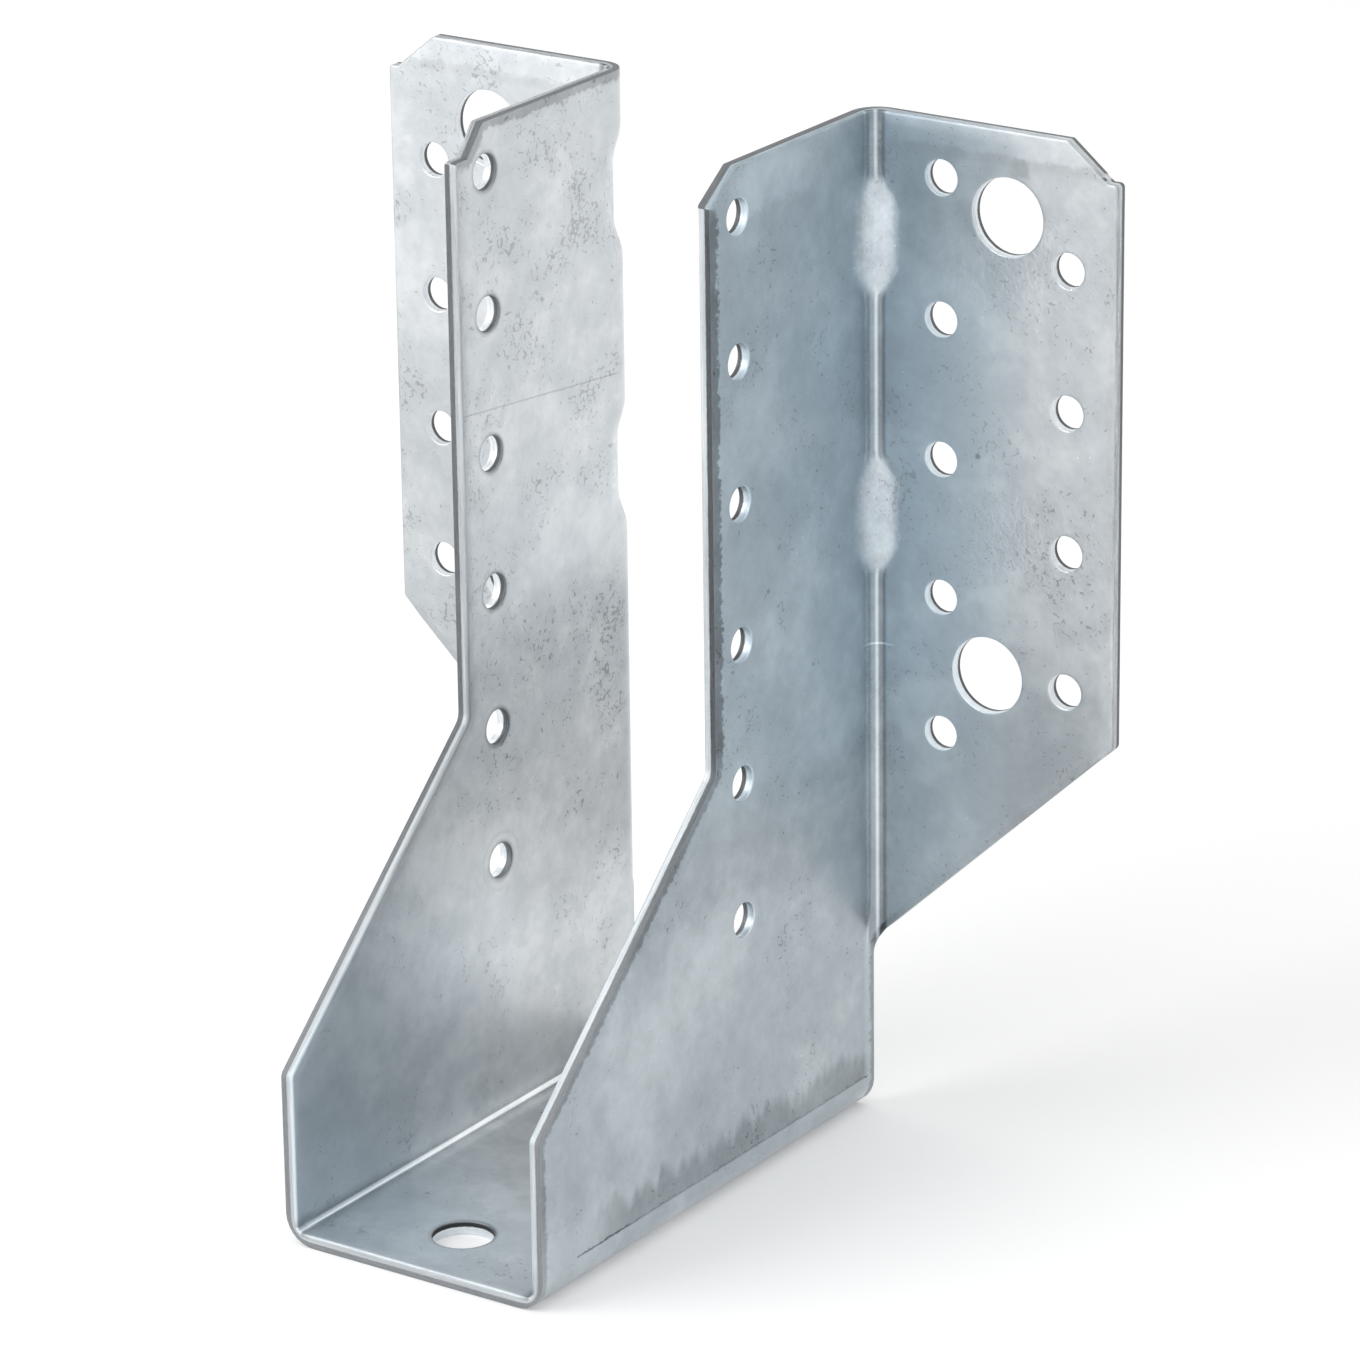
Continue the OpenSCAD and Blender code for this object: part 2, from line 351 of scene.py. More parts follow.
def rim_profile(outer_roll, inner_roll):
    """Section of a cut edge from the outer face to the joist's side, for each point of a loop.

    Each corner is a quarter ellipse, as wide as the roll and two thirds as deep. The wall between them
    leans in a little where the metal tore. Returns the distances into the metal, the levels and how much
    each row belongs to the cut.
    """
    angle = np.linspace(0, math.pi / 2, RIM_ROUND)[:, None]
    outer_in = outer_roll * (1 - np.sin(angle))
    outer_level = 1 - ROLL_DEPTH * outer_roll * (1 - np.cos(angle)) * 2 / SHEET
    inner_in = inner_roll * (1 - np.cos(angle))
    inner_level = -1 + ROLL_DEPTH * inner_roll * (1 - np.sin(angle)) * 2 / SHEET
    tear = np.array([0.03, 0.05, 0.0])[:, None] + 0 * outer_roll
    tear_level = np.array([0.45, 0.1, -0.25])[:, None] + 0 * outer_roll
    edge = np.full_like(outer_roll, RIM)[None]
    face = np.ones_like(outer_roll)[None]
    into = np.concatenate([edge, outer_in, tear, inner_in, edge])
    level = np.concatenate([face, outer_level, tear_level, inner_level, -face])
    rise = np.linspace(0, 1, RIM_ROUND)
    cut = np.concatenate([[0], rise, [1, 1, 1], rise[::-1], [0]])[:, None] + 0 * into
    return into, level, cut


def rim(loop, is_hole):
    """Distances into the metal, levels and cut shares of the rows of one loop, and where its metal tore.

    The torn part is where the last value is above 0: the far side from the punch.
    """
    if is_hole:
        into, level, cut = rim_profile(*(np.full(len(loop), roll) for roll in HOLE_ROLLS))
        return into, level, cut, -level - 0.18
    outside = cut_outside(loop)
    into, level, cut = rim_profile(FAR_ROLL + (PUNCH_ROLLS[0] - FAR_ROLL) * outside,
                                   PUNCH_ROLLS[1] + (FAR_ROLL - PUNCH_ROLLS[1]) * outside)
    on_flange = smooth(loop[:, 1], BEND_Y, FLANGE_FOOT)
    torn = np.where(outside > 0.5, 0.15 - 0.4 * on_flange - level, level - 0.12)
    drawn_outside, drawn_inside = droop(into, outside[None])
    rows = np.arange(len(into))[:, None]
    on_outer_side = rows <= RIM_ROUND
    on_inner_side = rows >= len(into) - 1 - RIM_ROUND
    level = level - on_outer_side * drawn_outside * 2 / SHEET + on_inner_side * drawn_inside * 2 / SHEET
    return into, level, cut, torn


# ---------------------------------------------------------------- painted shading, painted reflection tint and the coat's wear

def about(x, centre, half):
    """1 within 0.6 of half from a centre and 0 beyond 1.4 of it, with a smooth step between."""
    return smooth(np.abs(x - centre), 1.4 * half, 0.6 * half)


def painted_light_and_wear_fields(flat, level):
    """Painted light and shade, a painted reflection tint, and the coat's wear, on each vertex.

    One field is the painted light and shade added to the tone, one is a painted reflection tint that turns
    the colour bluer and darker, and wear says where the coat's pits are. The left wall is painted darkest
    across its middle, the flanges duller lower down or further out, the right wall duller in a band and
    below it, and the seat darker towards the header. The painted reflection tint is strongest outside,
    round the right header fold. The pits gather in two upright chains inside the left wall.
    """
    a, b = flat[:, 0], flat[:, 1]
    up = np.abs(a)
    outer = smooth(level, 0.2, 0.6)
    inner = smooth(level, -0.2, -0.6)
    left_inner = inner * smooth(a, -SEAT_HALF, -WALL_FOOT)
    right_wall = outer * smooth(a, SEAT_HALF, WALL_FOOT) * smooth(b, BEND_Y, BEND_Y - 1)
    flange = outer * smooth(b, FLANGE_FOOT, FLANGE_FOOT + 4)
    left_flange = flange * (a < 0)
    right_flange = flange * (a > 0)
    beside_fold = right_flange * smooth(b, FLANGE_FOOT + 24, FLANGE_FOOT + 14)
    seat_top = inner * smooth(up, SEAT_HALF + 1, SEAT_HALF - 1)
    # Painted shading: lighter and darker areas painted into the tone where light and reflections fall on
    # the part.
    shade = left_inner * (0.05 - 0.29 * about(up, across(54), 22)
                          + 0.30 * smooth(up, across(55), across(35)) * smooth(b, 25, 0))
    shade += left_flange * (-0.065 - 0.062 * smooth(up, across(112), across(82)))
    shade -= right_flange * 0.12 * smooth(b, FLANGE_FOOT + 16, FLANGE_FOOT + 30)
    shade += beside_fold * (0.14 * smooth(up, BLANK_TOP - 12, BLANK_TOP - 30)
                            - 0.10 * smooth(up, BLANK_TOP - 30, BLANK_TOP - 12))
    shade -= right_wall * (0.06 * smooth(up, across(8), across(16))
                           + 0.08 * smooth(up, across(62), across(46))
                           + 0.108 * about(up, across(49.5), 8))
    shade += seat_top * (0.07 - 0.48 * smooth(b, FRONT_Y + 8, FRONT_Y + 45))
    # Painted reflection tint: bluer and darker where the metal reflects itself, painted into the colour.
    painted_reflection_tint = (smooth(level, -0.3, 0.3) * smooth(a, -1, 1) * smooth(b, FLANGE_FOOT + 24, FLANGE_FOOT + 1)
            * smooth(up, SEAT_HALF, WALL_FOOT) * (0.6 + 0.4 * smooth(up, across(30), across(75))))
    painted_reflection_tint += (inner * smooth(b, FRONT_Y + 60, FRONT_Y + 8) * smooth(up, across(62), across(25))
             * (0.25 + 0.4 * smooth(up, SEAT_HALF, WALL_FOOT)))
    painted_reflection_tint += left_inner * 0.22 * about(up, across(72), 18)
    chain = about(b, HEADER_Y - 9, 4.5) + 0.6 * about(b, HEADER_Y - 36.5, 2.5)
    wear = (0.35 * left_inner * chain + 0.05 * inner - 0.7 * right_wall - 0.25 * right_flange - 0.1
            - 0.45 * smooth(up, across(NOSE_Z + 36), across(NOSE_Z + 12)))
    return {"shade": shade, "painted_reflection_tint": painted_reflection_tint, "wear": wear}


# ---------------------------------------------------------------- mesh of the sheet

BATCH = 4000                # places compared at once with all points of a loop


def lattice(a_values, b_values):
    """All pairs of two lists of coordinates, as flat places."""
    a, b = np.meshgrid(a_values, b_values, indexing="ij")
    return np.stack([a.ravel(), b.ravel()], 1)


def inside(points, loop):
    """Which points lie inside a closed loop: an odd number of its edges pass on one side of the point."""
    start, end = loop, np.roll(loop, -1, 0)
    odd = np.zeros(len(points), bool)
    rise = end[:, 1] - start[:, 1]
    rise = np.where(rise == 0, 1e-12, rise)
    slope = (end - start)[:, 0] / rise
    for first in range(0, len(points), BATCH):
        p = points[first:first + BATCH]
        above = (start[None, :, 1] > p[:, None, 1]) != (end[None, :, 1] > p[:, None, 1])
        cross = start[None, :, 0] + (p[:, None, 1] - start[None, :, 1]) * slope[None]
        odd[first:first + BATCH] = (above & (p[:, None, 0] < cross)).sum(1) % 2 == 1
    return odd


def far_from(points, others, distance):
    """Which points have none of the others within a distance."""
    keep = np.ones(len(points), bool)
    for first in range(0, len(points), BATCH):
        p = points[first:first + BATCH]
        gap = ((p[:, None] - others[None]) ** 2).sum(2).min(1)
        keep[first:first + BATCH] = gap > distance[first:first + BATCH] ** 2
    return keep


def inner_points():
    """Places between the edges: coarse on the flats, fine over the folds, finest over the ribs.

    Returns them, and how far each has to keep from the points of the rims.
    """
    coarse = 1.9
    fold_rows = np.linspace(BEND_Y - 5.4, FLANGE_FOOT + 4.2, 34)
    seat_rows = np.linspace(SEAT_HALF - 0.6, WALL_FOOT + 0.6, 15)
    flat_a = np.concatenate([
        np.arange(0, SEAT_HALF - 1.2, coarse),
        np.arange(WALL_FOOT + 1.6, BLANK_TOP, coarse)])
    flats = lattice(flat_a, np.arange(FRONT_Y, BLANK_SIDE, coarse))
    near_fold = (flats[:, 1] > fold_rows[0] - 0.6) & (flats[:, 1] < fold_rows[-1] + 0.6)
    flats = flats[~(near_fold & (flats[:, 0] > across(FLANGE_ROOT_Z - 4)))]
    heights = np.arange(FLANGE_ROOT_Z - 3.5, TOP_Z, 0.62)
    fine = rib_share(heights) > 0
    fine |= heights < FLANGE_ROOT_Z + 3
    fine[::2] = True
    header = lattice(across(heights[fine]), fold_rows)
    seat = lattice(seat_rows, np.arange(FRONT_Y, HEADER_Y, 1.6))
    half = np.concatenate([flats, header, seat])
    gap = np.concatenate([np.full(len(flats), 1.0), np.full(len(header), 0.3), np.full(len(seat), 0.45)])
    mirrored = half[:, 0] > 0.1
    both = np.concatenate([half, half[mirrored] * (-1, 1)])
    return both, np.concatenate([gap, gap[mirrored]])


def nearest(points, loop):
    """Distance to the nearest point of a loop, and that point's number."""
    distance = np.zeros(len(points))
    number = np.zeros(len(points), int)
    for first in range(0, len(points), BATCH):
        gap = ((points[first:first + BATCH, None] - loop[None]) ** 2).sum(2)
        number[first:first + BATCH] = gap.argmin(1)
        distance[first:first + BATCH] = np.sqrt(gap.min(1))
    return distance, number


def net_points(loops, rings):
    """Places of the net between the rims, their distances to the outline, and its cut_outside() there."""
    outline = loops[0]
    beside = np.concatenate([outline[::2] + row * inward(outline)[::2] for row in DROOP_ROWS])
    beside = beside[nearest(beside, outline)[0] > np.repeat(DROOP_ROWS, len(outline[::2])) * 0.93]
    points, gap = inner_points()
    keep = (nearest(points, outline)[0] > DROOP_ROWS[-1] + 0.7) | (gap < 0.4)
    points = np.concatenate([points[keep], beside])
    gap = np.concatenate([gap[keep], np.full(len(beside), 0.4)])
    keep = inside(points, rings[0])
    points, gap = points[keep], gap[keep]
    points = points[far_from(points, np.concatenate(rings), gap)]
    centres = np.array([hole[:3] for hole in hole_list()])
    clear = np.linalg.norm(points[:, None] - centres[None, :, :2], axis=2) > centres[None, :, 2] + RIM
    points = points[clear.all(1)]
    distance, number = nearest(points, outline)
    return points, distance, cut_outside(outline)[number]


def net_triangles(rings, points):
    """Triangles between the rims: a constrained Delaunay net, without those outside or across a hole."""
    ring = np.concatenate(rings)
    starts = np.cumsum([0] + [len(r) for r in rings])
    edges = np.concatenate([
        np.stack([np.arange(a, b), np.r_[np.arange(a + 1, b), a]], 1)
        for a, b in zip(starts[:-1], starts[1:])])
    net = np.concatenate([ring, points])
    spots, _, triangles, _, _, _ = delaunay_2d_cdt(
        list(map(Vector, net.tolist())), edges.tolist(), [], 0, 1e-6)
    assert len(spots) == len(net), "the net moved or merged places"
    triangles = np.array(triangles)
    on_ring = (triangles < len(ring)).all(1)
    middle = net[triangles[on_ring]].mean(1)
    good = inside(middle, rings[0])
    for loop in rings[1:]:
        centre = loop.mean(0)
        good &= np.linalg.norm(middle - centre, axis=1) > np.linalg.norm(loop[0] - centre)
    keep = np.ones(len(triangles), bool)
    keep[on_ring] = good
    triangles = triangles[keep]
    a, b, c = (net[triangles[:, k]] for k in range(3))
    area = (b - a)[:, 0] * (c - a)[:, 1] - (b - a)[:, 1] * (c - a)[:, 0]
    triangles[area < 0] = triangles[area < 0][:, ::-1]
    return triangles


def sheet_mesh():
    """Places on the blank, levels, faces and vertex fields of the folded sheet.

    Each edge is the profile of rim() carried round its loop. Both faces of the sheet are the same net of
    triangles between the loops, folded at level 1 and at level -1, less the droop beside the outline.
    The fields tell the material the level, how much a place belongs to a cut edge and where that is torn,
    the distances to the outline and to a hole, whether the outline was cut from outside there, how far a
    rib is pressed, the broad painted shading and painted reflection tint, and where the coat's pits gather.
    """
    corners, radii = blank_corners()
    loops = [rounded(corners, radii, 0.8)] + [circle(*hole) for hole in hole_list()]
    flat, level, cut, torn, edge, faces = [], [], [], [], [], []
    ring_outer, ring_inner, rings = [], [], []
    count = 0
    for number, loop in enumerate(loops):
        into, lev, share, tear = rim(loop, number > 0)
        rows, n = into.shape
        spots = loop[None] + into[:, :, None] * inward(loop)[None]
        flat.append(spots.reshape(-1, 2))
        level.append(lev.ravel())
        cut.append(share.ravel())
        torn.append(tear.ravel())
        edge.append(into.ravel() if number == 0 else nearest(spots.reshape(-1, 2), loops[0])[0])
        index = count + np.arange(rows * n).reshape(rows, n)
        after = np.roll(index, -1, 1)
        faces += np.stack([index[:-1], after[:-1], after[1:], index[1:]], 2).reshape(-1, 4).tolist()
        ring_outer.append(index[0])
        ring_inner.append(index[-1])
        rings.append(spots[0])
        count += rows * n
    points, distance, outside = net_points(loops, rings)
    triangles = net_triangles(rings, points)
    n = len(points)
    outer = np.concatenate([np.concatenate(ring_outer), count + np.arange(n)])
    inner = np.concatenate([np.concatenate(ring_inner), count + n + np.arange(n)])
    faces += outer[triangles][:, ::-1].tolist() + inner[triangles].tolist()
    drawn_outside, drawn_inside = droop(distance, outside)
    flat = np.concatenate(flat + [points, points])
    level = np.concatenate(level + [1 - drawn_outside * 2 / SHEET, -1 + drawn_inside * 2 / SHEET])
    cut = np.concatenate(cut + [np.zeros(2 * n)])
    torn = np.concatenate(torn + [np.full(2 * n, -1.0)])
    edge = np.concatenate(edge + [distance, distance])
    centres = np.array([hole[:3] for hole in hole_list()])
    gap = np.linalg.norm(flat[:, None] - centres[None, :, :2], axis=2) - centres[None, :, 2]
    fields = {
        "level": level, "cut": cut, "torn": torn,
        "edge": np.minimum(edge, 8), "hole": np.minimum(gap.min(1), 8),
        "outside": cut_outside(loops[0])[nearest(flat, loops[0])[1]],
        "rib": rib_share(WALL_FOOT_Z + np.abs(flat[:, 0]) - WALL_FOOT),
    }
    fields.update(painted_light_and_wear_fields(flat, level))
    return flat, level, faces, fields


def make_piece(name, vertices, faces, fields, uv):
    """Mesh object at the origin from arrays. fields are numbers on the vertices, uv is the flat place."""
    mesh = bpy.data.meshes.new(name)
    mesh.from_pydata((vertices * MM).tolist(), [], faces)
    mesh.shade_smooth()
    for label, values in fields.items():
        mesh.attributes.new(label, "FLOAT", "POINT").data.foreach_set("value", values.astype(np.float32))
    layer = mesh.uv_layers.new(name="flat_sheet")
    index = np.zeros(len(mesh.loops), np.int32)
    mesh.loops.foreach_get("vertex_index", index)
    layer.data.foreach_set("uv", uv[index].astype(np.float32).ravel())
    mesh.validate()
    piece = bpy.data.objects.new(name, mesh)
    bpy.context.scene.collection.objects.link(piece)
    return piece


# ---------------------------------------------------------------- node helpers

class Net:
    """Short calls that add linked nodes to one node tree."""

    def __init__(self, tree):
        self.tree = tree

    def feed(self, socket, value):
        """Link a socket to another one, or set its plain value."""
        if isinstance(value, bpy.types.NodeSocket):
            self.tree.links.new(value, socket)
        else:
            socket.default_value = value

    def add(self, kind, inputs=(), **settings):
        """New node with its settings, and its inputs given in order or by name."""
        node = self.tree.nodes.new(kind)
        for key, value in settings.items():
            setattr(node, key, value)
        pairs = inputs.items() if isinstance(inputs, dict) else enumerate(inputs)
        for key, value in pairs:
            self.feed(node.inputs[key], value)
        return node

    def math(self, operation, *values):
        """One arithmetic node."""
        return self.add("ShaderNodeMath", values, operation=operation).outputs[0]

    def step(self, value, low, high):
        """Smooth step from 0 at low to 1 at high."""
        node = self.add("ShaderNodeMapRange", interpolation_type="SMOOTHSTEP")
        self.feed(node.inputs["Value"], value)
        self.feed(node.inputs["From Min"], low)
        self.feed(node.inputs["From Max"], high)
        return node.outputs["Result"]

    def near(self, value, centre, half):
        """1 within 0.6 of half from a centre and 0 beyond 1.4 of it, as about() gives for arrays."""
        off = self.math("ABSOLUTE", self.math("SUBTRACT", value, centre))
        return self.step(off, half * 1.4, half * 0.6)

    def noise(self, vector, size, detail, roughness):
        """Noise between 0 and 1 with features about size across, in the vector's unit."""
        return self.add("ShaderNodeTexNoise", {
            "Vector": vector, "Scale": 1 / size, "Detail": detail, "Roughness": roughness}).outputs["Fac"]

    def total(self, *terms):
        """Sum of several terms. A term in brackets is the product of what they hold."""
        result = None
        for term in terms:
            if isinstance(term, tuple):
                result = self.math("MULTIPLY_ADD", self.product(*term[:-1]), term[-1], result or 0.0)
            else:
                result = term if result is None else self.math("ADD", result, term)
        return result

    def product(self, *values):
        """Product of several values."""
        result = values[0]
        for value in values[1:]:
            result = self.math("MULTIPLY", result, value)
        return result

    def centred(self, value, weight):
        """A noise's distance from its middle, times a weight."""
        return self.math("MULTIPLY_ADD", value, weight, -0.5 * weight)


def new_group(name, inputs, outputs):
    """Empty node group. Returns it, a Net in it, the sockets that it is given and those of its results."""
    tree = bpy.data.node_groups.new(name, "ShaderNodeTree")
    for label, kind in inputs:
        tree.interface.new_socket(label, in_out="INPUT", socket_type="NodeSocket" + kind)
    for label, kind in outputs:
        tree.interface.new_socket(label, in_out="OUTPUT", socket_type="NodeSocket" + kind)
    net = Net(tree)
    return tree, net, net.add("NodeGroupInput").outputs, net.add("NodeGroupOutput").inputs


def zinc_group():
    """Zinc coat: clouds, mottles and grain, in millimetres of the blank.

    Tone is about 0, lighter above and darker below. Bloom is 1 in the brighter clouds. Pits are small dark
    specks and hooked marks in clusters, more of them where Wear is high. Flecks are sparse bright specks.
    Height is in millimetres, with more grain where Coarse is high. Rough is a noise about 0, for ragged
    borders.
    """
    tree, net, given, result = new_group(
        "zinc_coat", [("Place", "Vector"), ("Wear", "Float"), ("Coarse", "Float")],
        [("Tone", "Float"), ("Bloom", "Float"), ("Pits", "Float"), ("Flecks", "Float"), ("Height", "Float"),
         ("Rough", "Float")])
    # The noises are turned, so that none of them lines up with the sheet's own directions.
    turned = net.add("ShaderNodeVectorRotate", {
        "Vector": given["Place"], "Axis": (1.0, 0.6, 0.8), "Angle": 0.9}).outputs[0]
    clouds = net.noise(turned, 19, 1, 0.5)
    mottle = net.noise(turned, 4.6, 2, 0.65)
    strands = net.noise(turned, 1.8, 1, 0.6)
    grain = net.noise(turned, 0.8, 1, 0.7)
    swell = net.noise(turned, 10, 0, 0.4)
    net.feed(result["Tone"], net.total(net.centred(clouds, 0.24), net.centred(mottle, 0.27),
                                       net.centred(strands, 0.08), net.centred(grain, 0.10)))
    net.feed(result["Bloom"], net.step(net.total(clouds, net.centred(mottle, 0.5)), 0.46, 0.66))
    cluster = net.total(net.centred(clouds, -0.35), net.centred(swell, 0.5), net.centred(mottle, -0.4),
                        (given["Wear"], 0.10))
    dots = net.step(net.total(grain, cluster), 0.75, 0.85)
    hooks = net.product(net.near(strands, 0.5, 0.028), net.step(net.total(grain, cluster), 0.58, 0.66))
    net.feed(result["Pits"], net.math("MAXIMUM", dots, hooks))
    net.feed(result["Flecks"], net.product(net.step(grain, 0.28, 0.22), net.step(mottle, 0.50, 0.58)))
    grain_height = net.total(0.003, (given["Coarse"], 0.03))
    net.feed(result["Height"], net.total(net.centred(swell, 0.045), (net.centred(grain, 1), grain_height)))
    net.feed(result["Rough"], net.total(net.centred(grain, 1), net.centred(mottle, 0.8)))
    return tree


# ---------------------------------------------------------------- finish

SIDE_STEP = 40.0        # how far each face's pattern lies from that of the sheet's middle
ZINC_BRIGHT = (0.655, 0.680, 0.695, 1)
ZINC_DULL = (0.600, 0.632, 0.655, 1)
REFLECTION_BLUE = (0.78, 0.86, 0.91)      # share of each colour that the strongest painted reflection tint leaves
TORN_STEEL = (0.225, 0.235, 0.245)  # torn metal at tone 1


def galvanised():
    """Galvanised steel: clouded zinc on the faces, two bands on the cut edges, the tools' marks, and
    painted light and shade: highlights and dark flanks in the folds, a highlight along the flanges' top, a
    shadow in the seat's bore, broad shading and a bluish reflection tint.
    """
    material = bpy.data.materials.new("galvanised_steel")
    material.use_nodes = True
    net = Net(material.node_tree)
    shader = material.node_tree.nodes["Principled BSDF"]

    def field(name):
        return net.add("ShaderNodeAttribute", attribute_name=name).outputs["Fac"]

    def less(value):
        return net.math("SUBTRACT", 1, value)

    def mixed(factor, first, second):
        node = net.add("ShaderNodeMix", data_type="RGBA")
        for name, value in {"Factor": factor, "A": first, "B": second}.items():
            net.feed(node.inputs[name], value)
        return node.outputs["Result"]

    def scaled(colour, factor):
        node = net.add("ShaderNodeVectorMath", {"Vector": colour, "Scale": factor}, operation="SCALE")
        return node.outputs["Vector"]

    level, cut, torn, edge, hole = (field(name) for name in ("level", "cut", "torn", "edge", "hole"))
    outside, rib, shade, painted_reflection_tint = (field(name) for name in ("outside", "rib", "shade", "painted_reflection_tint"))
    uv = net.add("ShaderNodeSeparateXYZ", [net.add("ShaderNodeUVMap", uv_map="flat_sheet").outputs[0]])
    a = net.math("MULTIPLY", uv.outputs[0], BLANK_UNIT)
    b = net.math("MULTIPLY", uv.outputs[1], BLANK_UNIT)
    side = net.math("MULTIPLY", level, SIDE_STEP)
    spot_here = net.add("ShaderNodeCombineXYZ", [a, b, side]).outputs[0]
    stretched = net.add("ShaderNodeCombineXYZ", [net.math("MULTIPLY", a, 0.06), b, side]).outputs[0]
    outer_face = net.step(level, 0.2, 0.6)
    joist_face = net.step(level, -0.2, -0.6)
    height_up = net.math("ABSOLUTE", a)

    zinc = net.add("ShaderNodeGroup", node_tree=zinc_group())
    net.feed(zinc.inputs["Place"], spot_here)
    net.feed(zinc.inputs["Coarse"], net.total(rib, cut))
    net.feed(zinc.inputs["Wear"], field("wear"))
    coat = zinc.outputs
    ragged = coat["Rough"]

    # Folds. A narrow painted highlight lies in each hollow, between painted shade on its flanks, and a
    # faint painted highlight line runs along the wall's side of the header fold.
    in_header = net.math("SUBTRACT", b, BEND_Y + HEADER_ARC / 2)
    in_seat = net.math("SUBTRACT", height_up, SEAT_HALF + SEAT_ARC / 2)
    above_root = net.step(height_up, across(FLANGE_ROOT_Z - 2), across(FLANGE_ROOT_Z + 1))
    plain = less(net.step(rib, 0.02, 0.35))
    header_band = net.product(net.near(in_header, 0, 2.7), above_root, plain)
    seat_band = net.product(net.near(in_seat, 0, 1.9), net.step(b, HEADER_Y, HEADER_Y - 2))
    hollow = net.product(outer_face, header_band)
    seat_hollow = net.product(joist_face, seat_band)
    # Painted highlight line in the hollow, painted shade beside it, and a faint painted pale line.
    fold_painted_highlight = net.total((hollow, net.near(in_header, 0.42, 0.36)), (seat_hollow, net.near(in_seat, 0.1, 0.8)))
    fold_painted_shade = net.total((hollow, net.near(in_header, 1.48, 0.85)),
                      (hollow, net.near(in_header, -0.88, 0.88), 0.74),
                      (seat_hollow, less(net.near(in_seat, 0.1, 1.0)), 0.8))
    fold_painted_pale_line = net.product(hollow, net.near(in_header, -2.2, 0.22))
    # A rib's pressed face is frosted. Its border is crisp beside the flange and soft along the wall.
    to_flange = net.total(0.4, (rib, 4.1), (in_header, -1), ragged)
    to_wall = net.total(0.4, (rib, 5.3), in_header, ragged)
    pressed = net.product(net.step(to_flange, -0.1, 0.5), net.step(to_wall, 0, 2.6),
                          net.step(rib, 0.03, 0.15))
    polish = net.math("MAXIMUM", header_band, seat_band)

    # Cut edges. The burnished part is bright, and the torn part is dull, rough and darker higher up.
    tear = net.product(net.step(net.total(torn, (ragged, 0.35)), -0.07, 0.07), cut)
    burnish = net.math("SUBTRACT", cut, tear)
    whole = less(cut)
    # Beside a cut edge the face on the far side from the punch is dragged, and so is a collar at each hole.
    # The band is widest and darkest along the upright front edge of the right wall.
    right_front = net.product(net.step(a, across(SLOPE_Z - 2), across(SLOPE_Z + 5)), less(outside),
                              net.step(b, HEADER_Y - WALL_DEPTH + 6, HEADER_Y - WALL_DEPTH + 4))
    wide = net.product(outer_face, right_front)
    wobble = net.total(edge, (ragged, net.total(1.2, wide)), (wide, -0.7), (outside, -0.15))
    on_flange = net.product(outer_face, net.step(b, FLANGE_FOOT, FLANGE_FOOT + 4))
    dragged = net.product(net.total((outer_face, less(outside), less(net.product(on_flange, 0.75))),
                                    (joist_face, outside)),
                          net.step(wobble, 1.35, 0.80), whole)
    collar = net.product(joist_face, net.step(hole, 0.9, 0.3), whole)

    # Marks of the tools and of handling, by their places on the blank.
    def off(x_side, z, along, face, waver):
        """Distance to a place on one face of a wall or a flange, with a wavering border."""
        centre = (x_side * across(z), along, face * SIDE_STEP)
        gap = net.add("ShaderNodeVectorMath", [spot_here, centre], operation="DISTANCE").outputs["Value"]
        return net.total(gap, (ragged, waver))

    front = HEADER_Y - WALL_DEPTH
    back = HEADER_Y - BACK_INSET
    slant = 0.095
    scribe_line = -across(SHEET + 104.9) - (front + 0.5) * slant
    scribe = net.product(net.near(net.total(a, (b, -slant), (ragged, 0.2)), scribe_line, 0.13), joist_face,
                         net.step(b, front, front + 1), net.step(b, back - 1.5, back - 2.5))
    die_line = net.product(net.near(net.total(a, (ragged, 0.5)), across(WALL_FOOT_Z + 0.9), 0.15),
                           outer_face, net.step(b, FRONT_Y + 7.8, FRONT_Y + 8.2),
                           net.step(b, back - 1.4, back - 1.7),
                           net.total(0.4, (net.step(b, FRONT_Y + 24, FRONT_Y + 17), 0.6)))
    tick = net.product(outer_face, net.near(a, across(SHEET + 68.5), 0.16),
                       net.near(b, FLANGE_FOOT - 2.2, 3.2))
    dot = net.step(off(1, SHEET + 98.5, out(HALF_GAP + SHEET + 16.9), 1, 0.3), 0.60, 0.15)
    rub = net.product(outer_face, net.step(a, across(WALL_FOOT_Z + 0.5), across(WALL_FOOT_Z + 1.2)),
                      net.step(net.total(a, net.centred(net.noise(stretched, 3.2, 1, 0.7), 10)),
                               across(WALL_FOOT_Z + 6.5), across(WALL_FOOT_Z + 3.5)),
                      net.step(b, FRONT_Y + 9, FRONT_Y + 20), net.step(b, back - 1, back - 3))
    rings = net.total(net.near(off(-1, SHEET + 58.0, front + 6.5, -1, 0.6), 4.3, 0.28),
                      net.near(off(-1, SHEET + 38.0, front + 6.5, -1, 0.6), 4.3, 0.28))
    rings = net.product(rings, coat["Bloom"])
    smudge = net.step(off(1, SHEET + 140.0, out(45.0), 1, 1.8), 2.0, 0.7)
    rubbed_pale = net.total(
        (outer_face, net.near(net.total(b, (ragged, 4)), front + 15, 9),
         net.near(net.total(a, (ragged, 3)), across(SHEET + 141), 3.4)),
        net.step(off(1, SHEET + 115.0, front + 28, 1, 4.0), 5.2, 1.6))

